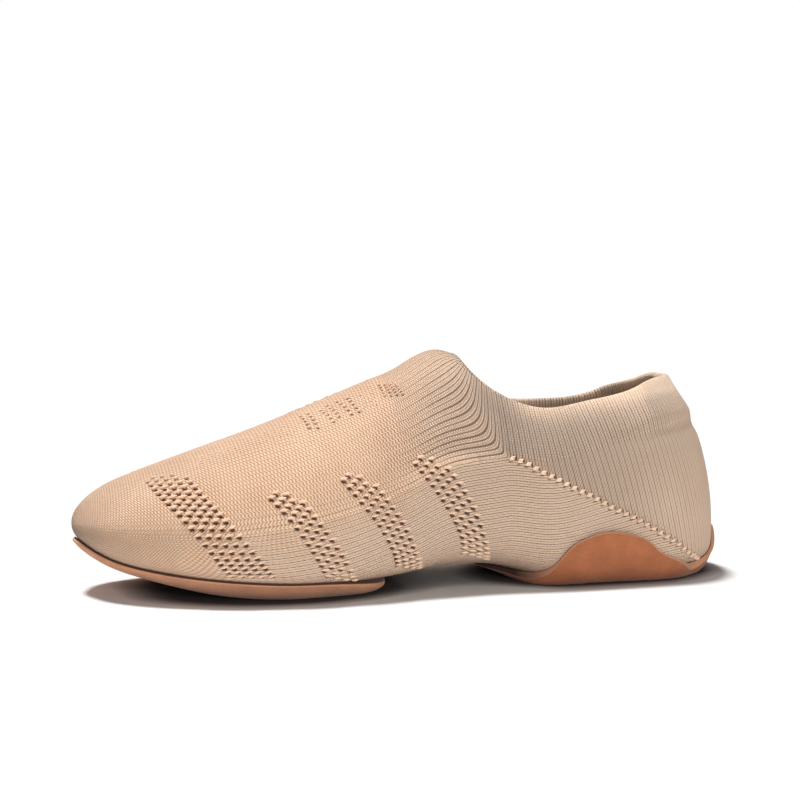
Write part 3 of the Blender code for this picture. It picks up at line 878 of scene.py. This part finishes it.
def suede(name, light, dark, edge_colour, edge_from, edge_full, dark_front_to):
    """Suede with an edge colour, laid on between two values of the rim: on the forefoot pad a dark brown
    dye, on the heel pad a painted highlight.

    In front of the place given last, the edge is painted near black brown: on the heel pad this is painted
    shade under the arch."""
    made, tree, shader = finish(name, 0.95, 0.15)
    napped = tree.add("ShaderNodeGroup", {0: (*light, 1), 1: (*dark, 1)}, node_tree=nap)
    rim = tree.add("ShaderNodeAttribute", attribute_name="rim")
    edge = tree.sum("MULTIPLY", rim.outputs["Fac"], 0.5)
    edge = tree.ramp(edge, [(edge_from / 2, (0, 0, 0)), (edge_full / 2, (1, 1, 1))])
    both = {0: edge, 6: napped.outputs[0], 7: (*edge_colour, 1)}
    colour = tree.add("ShaderNodeMix", both, data_type="RGBA")
    # Painted shade: in front of the given place the edge turns near black brown, which darkens the heel pad's
    # front under the arch.
    spot = tree.add("ShaderNodeSeparateXYZ", {0: tree.add("ShaderNodeTexCoord").outputs["Object"]})
    ahead = tree.sum("DIVIDE", tree.sum("SUBTRACT", dark_front_to, spot.outputs[0]), DARK_FRONT_FADE)
    dark_front = tree.sum("MINIMUM", tree.sum("MAXIMUM", ahead, 0.0), 1.0)
    dark_front = tree.sum("MULTIPLY", dark_front, edge)
    both = {0: dark_front, 6: colour.outputs[2], 7: (*DYED_AND_SHADED_EDGE, 1)}
    colour = tree.add("ShaderNodeMix", both, data_type="RGBA")
    tree.links.new(colour.outputs[2], shader.inputs["Base Color"])
    tree.bump(shader, 0.8, 0.00025, napped.outputs[1])
    return made


heel_pad = suede_pad("heel_pad", "sole_heel", HEEL_EDGE, HEEL_TURN_UP)
# The heel pad's edge takes a painted highlight, and in front of -0.040 on X a near black painted shade under
# the arch.
heel_suede = suede("heel suede", HEEL_LIGHT, HEEL_DARK, EDGE_HIGHLIGHT, 0.45, 0.9, -0.040)
heel_pad.data.materials.append(heel_suede)
forefoot_pad = suede_pad("forefoot_pad", "sole_forefoot", FOREFOOT_EDGE, FOREFOOT_TURN_UP)
forefoot_suede = suede("forefoot suede", FOREFOOT_LIGHT, FOREFOOT_DARK, DYED_AND_SHADED_EDGE, 1.25, 1.5, 0.0)
forefoot_pad.data.materials.append(forefoot_suede)


# The insole
# A thin textile insole lies on the knit inside, from the heel to the toes.
INSOLE = 0.0020
TWILL = 0.0014
LINING_DARK, LINING_LIGHT = (0.42, 0.29, 0.20), (0.60, 0.44, 0.32)
INSOLE_EDGE = np.array([
    (-1.0, -52, -52, 1.0), (0.0, -50, -50, 1.0), (1.0, -52, -52, 1.0), (3.0, -56, -56, 1.0),
    (5.0, -58, -58, 1.0), (7.0, -58, -58, 1.0), (9.0, -56, -56, 1.0), (10.5, -60, -60, 1.0),
    (11.6, -68, -68, 1.0), (12.5, -80, -80, 1.0), (12.8, -90, -90, 1.0), (13.0, -90, -90, 1.0),
])
station, side, angle, full, thick = across(INSOLE_EDGE, 10, 16)
face, normal = form(station, side, angle), outward(station, side, angle)
near = face - normal * (KNIT + CLEARANCE)
far = near - normal * (INSOLE * thick * (0.5 + 0.5 * full))[..., None]
insole = slab("insole_sheet", near, far, "insole")
twill = insole.data.uv_layers.new(name="twill")
corners = np.empty(len(insole.data.loops), np.int32)
insole.data.loops.foreach_get("vertex_index", corners)
spots = np.empty(len(insole.data.vertices) * 3, np.float32)
insole.data.vertices.foreach_get("co", spots)
spots = spots.reshape(-1, 3)[corners]
twill.data.foreach_set("uv", (spots[:, [1, 0]] / TWILL).astype(np.float32).ravel())
lining, tree, shader = finish("lining", 0.95, 0.15)
lines = tree.add("ShaderNodeUVMap", uv_map="twill")
loops = tree.add("ShaderNodeGroup", {0: lines.outputs[0], 1: 0.0}, node_tree=stitch)
# The lining's colour follows the weave's height: darker between the threads, as painted shade.
weave = tree.ramp(loops.outputs[0], [(0.1, LINING_DARK), (0.9, LINING_LIGHT)])
tree.links.new(weave, shader.inputs["Base Color"])
tree.bump(shader, 0.6, 0.0002, loops.outputs[0])
insole.data.materials.append(lining)


# The stage
# The camera stands where the photograph's did, over a white floor. The light comes from above and a
# little behind, with a soft glow from all round. Close under the pads the floor is painted darker, as a
# painted contact shadow.
CAMERA_TURN = 17.5
CAMERA_AWAY = 0.94
CAMERA_HEIGHT = 0.165
PAINTED_SHADOW_REACH = 0.009
FLOOR_PAINTED_SHADOW, FLOOR_PAPER = (0.08, 0.07, 0.07), (0.74, 0.74, 0.74)
GLOW = 0.21
camera = bpy.data.objects.new("camera", bpy.data.cameras.new("camera"))
bpy.context.scene.collection.objects.link(camera)
target = Vector((-0.09, 0, 0.045))
turn = math.radians(CAMERA_TURN)
camera.location = (target.x - math.sin(turn) * CAMERA_AWAY,
                   target.y - math.cos(turn) * CAMERA_AWAY, CAMERA_HEIGHT)
camera.rotation_euler = (target - camera.location).to_track_quat("-Z", "Y").to_euler()
camera.data.lens = 115.9
camera.data.sensor_width = 36
camera.data.shift_x = 0.00625
camera.data.shift_y = 0.075
bpy.context.scene.camera = camera

floor_mesh = bpy.data.meshes.new("floor")
floor_mesh.from_pydata([(-6, -3, 0), (6, -3, 0), (6, 6, 0), (-6, 6, 0)], [], [(0, 1, 2, 3)])
floor = bpy.data.objects.new("floor", floor_mesh)
bpy.context.scene.collection.objects.link(floor)
floor_finish, tree, shader = finish("floor", 1.0, 0.0)
# Painted shadow: the floor's colour turns near black where the pads and the knit close over it.
open_above = tree.add("ShaderNodeAmbientOcclusion", {"Distance": PAINTED_SHADOW_REACH}).outputs["AO"]
floor_with_painted_shadow = tree.ramp(open_above, [(0.30, FLOOR_PAINTED_SHADOW), (0.95, FLOOR_PAPER)])
tree.links.new(floor_with_painted_shadow, shader.inputs["Base Color"])
shader.inputs["Specular IOR Level"].default_value = 0
floor_mesh.materials.append(floor_finish)

world = bpy.data.worlds.new("studio")
bpy.context.scene.world = world
world.use_nodes = True
tree = Tree(world.node_tree)
seen = tree.add("ShaderNodeLightPath").outputs["Is Camera Ray"]
glow = tree.add("ShaderNodeMix", {0: seen, 2: GLOW, 3: 1.0})
world.node_tree.nodes["Background"].inputs["Color"].default_value = (1, 1, 1, 1)
tree.links.new(glow.outputs[0], world.node_tree.nodes["Background"].inputs["Strength"])
bpy.context.scene.view_settings.view_transform = "Standard"


def lamp(name, kind, at, aim, size, power):
    """A lamp turned to what it lights. Its size is a sun's angle or a round panel's width."""
    light = bpy.data.lights.new(name, kind)
    light.energy = power
    if kind == "SUN":
        light.angle = size
    else:
        light.shape, light.size = "DISK", size
    made = bpy.data.objects.new(name, light)
    bpy.context.scene.collection.objects.link(made)
    made.location = at
    made.rotation_euler = (Vector(aim) - Vector(at)).to_track_quat("-Z", "Y").to_euler()


lamp("top", "SUN", (-0.25, 0.26, 1.0), (-0.09, 0, 0.0), math.radians(10), 3.9)
lamp("front", "AREA", (-0.05, -1.15, 0.24), (-0.09, 0, 0.03), 0.4, 6.8)
